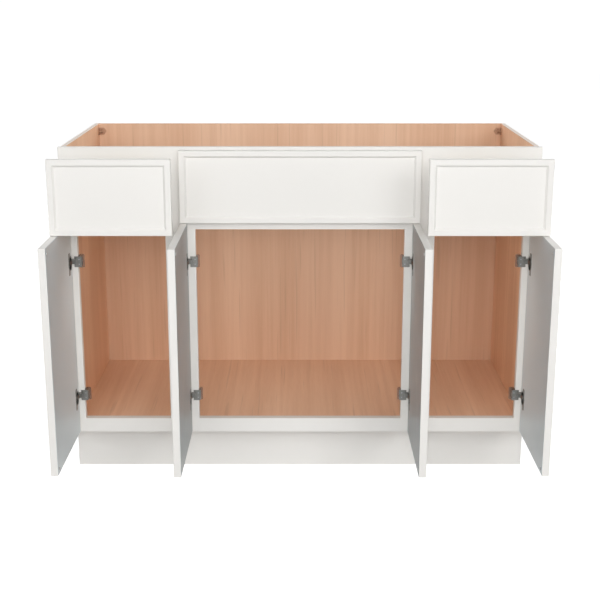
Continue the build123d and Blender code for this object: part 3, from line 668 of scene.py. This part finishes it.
class CABINET_OT_hinges(bpy.types.Operator):
    """Plate the hinges and add their screws, cams, rivets and springs"""

    bl_idname = "cabinet.hinges"
    bl_label = "Finish hinges"

    def execute(self, context):
        nickel = hinge_nickel()
        dress(nickel, "hinge_")
        sizes = context.scene.cabinet_hardware
        screw = pan_head(sizes.small_head_radius, sizes.small_head_height, sizes.around)
        cam = cam_head(sizes.cam_radius, CAM_HEIGHT, sizes.around)
        rivet = rivet_head(sizes.rivet_radius, RIVET_HEIGHT, RIVET_FACETS)
        pin = rivet_head(sizes.pin_radius, PIN_HEIGHT, RIVET_FACETS)
        spring = coil_spring(sizes.spring_radius, sizes.spring_wire, sizes.spring_length)
        zinc = bpy.data.materials["Zinc plated steel"]
        for place in HINGE_AXES:
            into = side_sign(place)
            ears, pins, legs, cams, rivets, springs = [], [], [], [], [], []
            for height in HINGE_HEIGHTS:
                middle = height - ARM_DROP
                for up in (1, -1):
                    ear = on_open_door(place, *EAR_PLACE, height + up * EAR_RISE)
                    ears.append((ear, (into, 0, 0)))
                    pins.append((on_frame(place, *PIN_PLACE, middle + up * PIN_RISE), (0, -1, 0)))
                    rivets.append((on_frame(place, *RIVET_PLACE, height + up * RIVET_RISE), (0, 0, up)))
                    coil = on_open_door(place, *SPRING_PLACE, height + up * SPRING_RISE)
                    springs.append((coil, (0, 0, up)))
                cams.append((on_frame(place, *CAM_PLACE, middle), (into, 0, 0)))
                legs.append((on_frame(place, *LEG_SCREW_PLACE, middle), (into, 0, 0)))
            rows = (
                ("hinge_cup_screws", screw, ears, zinc, f"door_{place}", "zinc_steel"),
                ("hinge_pins", pin, pins, zinc, "cabinet", "zinc_steel"),
                ("hinge_leg_screws", screw, legs, zinc, "cabinet", "zinc_steel"),
                ("hinge_cams", cam, cams, zinc, "cabinet", "zinc_steel"),
                ("hinge_rivets", rivet, rivets, nickel, "cabinet", "hinge_steel"),
                ("hinge_springs", spring, springs, zinc, f"door_{place}", "zinc_steel"),
            )
            for name, shape, spots, finish, body, slot in rows:
                new_piece(f"{name}_{place}", set_out(shape, spots), finish, body)
        return {"FINISHED"}


class CABINET_OT_slides(bpy.types.Operator):
    """Plate the drawer slides, their rear brackets and the false front's clips, with their screws"""

    bl_idname = "cabinet.slides"
    bl_label = "Finish slides and clips"

    def execute(self, context):
        colours, sizes = context.scene.cabinet_colours, context.scene.cabinet_hardware
        zinc = plated_steel("Zinc plated steel", colours.zinc, 0.3, 0.48, 1.4 * MM)
        dress(zinc, "slide_", "false_front_clips")
        head = pan_head(sizes.head_radius, sizes.head_height, sizes.around)
        for side, sign in (("left", 1), ("right", -1)):
            cabinet_spots, drawer_spots = [], []
            first, last = BOX_FRONT + DRAWER_SIDE_SCREW_INSET, BOX_REAR - DRAWER_SIDE_SCREW_INSET
            for edge, inward in ((-STILE_EDGE, 1), (-MULLION_OUTER, -1)):
                out, back = (sign * inward, 0, 0), (-sign * inward, 0, 0)
                cabinet_web = sign * (edge + inward * CABINET_WEB)
                drawer_web = sign * (edge + inward * DRAWER_WEB)
                foot = sign * (edge + inward * REAR_FOOT)
                for y in (SLIDE_FRONT + WEB_FIRST_SCREW, SLIDE_REAR - WEB_LAST_SCREW):
                    cabinet_spots.append(((cabinet_web, y, SLIDE_HEIGHT), out))
                for y in (first, (first + last) / 2, last):
                    drawer_spots.append(((drawer_web, y, SLIDE_HEIGHT), back))
                for z in (SLIDE_HEIGHT - REAR_FOOT_SCREW_RISE, SLIDE_HEIGHT + REAR_FOOT_SCREW_RISE):
                    cabinet_spots.append(((foot, BACK_INNER - REAR_FOOT_THICKNESS, z), (0, -1, 0)))
            rows = (
                (f"slide_screws_{side}", cabinet_spots, "cabinet"),
                (f"drawer_side_screws_{side}", drawer_spots, f"drawer_{side}"),
            )
            for name, spots, body in rows:
                new_piece(name, set_out(head, spots), zinc, body)
        clip_low, clip_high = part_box("false_front_clips")
        clip_spots = []
        for sign in (1, -1):
            for z in (clip_low.z + CLIP_SCREW_INSET, clip_high.z - CLIP_SCREW_INSET):
                face = (sign * (MULLION_INNER - CLIP_SCREW_INSET), clip_low.y + CLIP_THICKNESS, z)
                jamb = (sign * (MULLION_INNER - CLIP_THICKNESS), FRAME_FRONT + CLIP_JAMB_SCREW_BACK, z)
                clip_spots += [(face, (0, 1, 0)), (jamb, (-sign, 0, 0))]
        new_piece("clip_screws", set_out(head, clip_spots), zinc, "cabinet")
        return {"FINISHED"}


class CABINET_OT_brackets(bpy.types.Operator):
    """Finish the corner brackets and drive their screws"""

    bl_idname = "cabinet.brackets"
    bl_label = "Finish corner brackets"

    def execute(self, context):
        nylon = brown_nylon()
        dress(nylon, "corner_brackets")
        colours, sizes = context.scene.cabinet_colours, context.scene.cabinet_hardware
        head = pan_head(sizes.small_head_radius, sizes.small_head_height, sizes.around)
        low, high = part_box("corner_brackets")
        spots = []
        for sign in (1, -1):
            for y, into in ((high.y, -1), (low.y, 1)):
                for z in (low.z + BRACKET_SCREW_INSET, high.z - BRACKET_SCREW_INSET):
                    rear = (sign * (SIDE_INNER - BRACKET_SCREW_OUT), y + into * BRACKET_WALL, z)
                    flank = (sign * (SIDE_INNER - BRACKET_WALL), y + into * BRACKET_SCREW_OUT, z)
                    spots += [(rear, (0, into, 0)), (flank, (-sign, 0, 0))]
        bronze = plated_steel("Bronzed steel screws", colours.bronze, 0.35, 0.5, 0.8 * MM)
        new_piece("bracket_screws", set_out(head, spots), bronze, "cabinet")
        return {"FINISHED"}


class CABINET_OT_bumpers(bpy.types.Operator):
    """Finish the clear bumpers on doors and drawer fronts"""

    bl_idname = "cabinet.bumpers"
    bl_label = "Finish bumpers"

    def execute(self, context):
        dress(clear_bumper(), "door_bumpers", "drawer_bumpers")
        return {"FINISHED"}


class CABINET_OT_studio(bpy.types.Operator):
    """Set up the white studio, its lamps and the camera"""

    bl_idname = "cabinet.studio"
    bl_label = "Set up the studio"

    def execute(self, context):
        light = context.scene.cabinet_light
        self.floor()
        self.surroundings(context.scene, light.ambient)
        for name, setting, size, place in LAMPS:
            self.lamp(name, getattr(light, setting), size, place)
        self.camera(context.scene)
        context.scene.view_settings.view_transform = "Standard"
        return {"FINISHED"}

    def seen(self, tree):
        """1 where a ray shows the studio itself: to the camera, mirrored or through something clear."""
        path = add(tree, "ShaderNodeLightPath")
        mirrored = {0: path.outputs["Is Glossy Ray"], 1: path.outputs["Is Transmission Ray"]}
        through = add(tree, "ShaderNodeMath", mirrored, operation="MAXIMUM")
        either = {0: path.outputs["Is Camera Ray"], 1: through.outputs[0]}
        return add(tree, "ShaderNodeMath", either, operation="MAXIMUM").outputs[0]

    def floor(self):
        """Matt white paper floor that keeps the cabinet's shadow faint."""
        half, drop = FLOOR_HALF, -FLOOR_DROP
        corners = [(-half, -half, drop), (half, -half, drop), (half, half, drop), (-half, half, drop)]
        mesh = bpy.data.meshes.new("studio_floor")
        mesh.from_pydata(corners, [], [[0, 1, 2, 3]])
        paper = bpy.data.materials.new("White paper floor")
        paper.use_nodes = True
        tree = paper.node_tree
        tree.nodes.clear()
        matt = add(tree, "ShaderNodeBsdfDiffuse", {"Color": linear(FLOOR_COLOUR)})
        place = add(tree, "ShaderNodeTexCoord").outputs["Object"]
        away = add(tree, "ShaderNodeVectorMath", {0: place}, operation="LENGTH")
        fade = add(tree, "ShaderNodeMapRange", {"Value": away.outputs["Value"], **FLOOR_GLOW})
        where_seen = {0: self.seen(tree), 1: fade.outputs[0]}
        glow = add(tree, "ShaderNodeMath", where_seen, operation="MULTIPLY")
        shown = add(tree, "ShaderNodeEmission", {"Strength": glow.outputs[0]})
        both = add(tree, "ShaderNodeAddShader", {0: matt.outputs[0], 1: shown.outputs[0]})
        add(tree, "ShaderNodeOutputMaterial", {"Surface": both.outputs[0]})
        mesh.materials.append(paper)
        floor = bpy.data.objects.new("studio_floor", mesh)
        bpy.context.scene.collection.objects.link(floor)

    def surroundings(self, scene, ambient):
        """White all round where it is seen, and a plain soft light on the cabinet."""
        world = bpy.data.worlds.new("White studio")
        world.use_nodes = True
        scene.world = world
        tree = world.node_tree
        levels = {"Value": self.seen(tree), "To Min": ambient, "To Max": BACKDROP_WHITE}
        strength = add(tree, "ShaderNodeMapRange", levels)
        background = tree.nodes["Background"]
        background.inputs["Color"].default_value = (1, 1, 1, 1)
        tree.links.new(strength.outputs[0], background.inputs["Strength"])

    def lamp(self, name, power, size, place):
        """Square soft lamp of one size and power at a place, turned to the cabinet's back."""
        data = bpy.data.lights.new(name, "AREA")
        data.energy, data.size = power, size
        lamp = bpy.data.objects.new(name, data)
        lamp.location = place
        aim = Vector((0, 0, 0.45)) - Vector(place)
        lamp.rotation_euler = aim.to_track_quat("-Z", "Y").to_euler()
        lamp.visible_camera = False
        bpy.context.scene.collection.objects.link(lamp)

    def camera(self, scene):
        """Camera 3.4 m in front of the wall line, looking down about 15 degrees through a 69 mm lens."""
        data = bpy.data.cameras.new("Catalogue camera")
        data.sensor_width, data.lens = SENSOR_WIDTH, LENS
        camera = bpy.data.objects.new("Catalogue camera", data)
        camera.location = CAMERA_PLACE
        camera.rotation_euler = (np.pi / 2 - CAMERA_PITCH, 0, 0)
        scene.collection.objects.link(camera)
        scene.camera = camera


class CABINET_PT_panel(bpy.types.Panel):
    """Steps and settings of the cabinet's finish"""

    bl_idname = "CABINET_PT_panel"
    bl_label = "Sink base cabinet"
    bl_space_type = "VIEW_3D"
    bl_region_type = "UI"
    bl_category = "Cabinet"

    def draw(self, context):
        for operator in OPERATORS:
            self.layout.operator(operator.bl_idname)
        for group in SETTINGS:
            settings = getattr(context.scene, group)
            for key in settings.bl_rna.properties.keys():
                if key not in {"rna_type", "name"}:
                    self.layout.prop(settings, key)


SETTINGS = {
    "cabinet_colours": CabinetColours,
    "cabinet_hardware": HardwareSizes,
    "cabinet_light": StudioLight,
}
OPERATORS = (
    CABINET_OT_paint,
    CABINET_OT_boards,
    CABINET_OT_slides,
    CABINET_OT_drawer_boxes,
    CABINET_OT_hinges,
    CABINET_OT_brackets,
    CABINET_OT_bumpers,
    CABINET_OT_studio,
)


def register():
    """Add the settings, operators and panel."""
    for cls in (*SETTINGS.values(), *OPERATORS, CABINET_PT_panel):
        bpy.utils.register_class(cls)
    for name, cls in SETTINGS.items():
        setattr(bpy.types.Scene, name, PointerProperty(type=cls))


def unregister():
    """Take them away again."""
    for name in SETTINGS:
        delattr(bpy.types.Scene, name)
    for cls in (CABINET_PT_panel, *reversed(OPERATORS), *SETTINGS.values()):
        bpy.utils.unregister_class(cls)


def main():
    """Run every step in order."""
    register()
    bpy.ops.cabinet.paint()
    bpy.ops.cabinet.boards()
    bpy.ops.cabinet.slides()
    bpy.ops.cabinet.drawer_boxes()
    bpy.ops.cabinet.hinges()
    bpy.ops.cabinet.brackets()
    bpy.ops.cabinet.bumpers()
    bpy.ops.cabinet.studio()


if __name__ == "__main__":
    main()
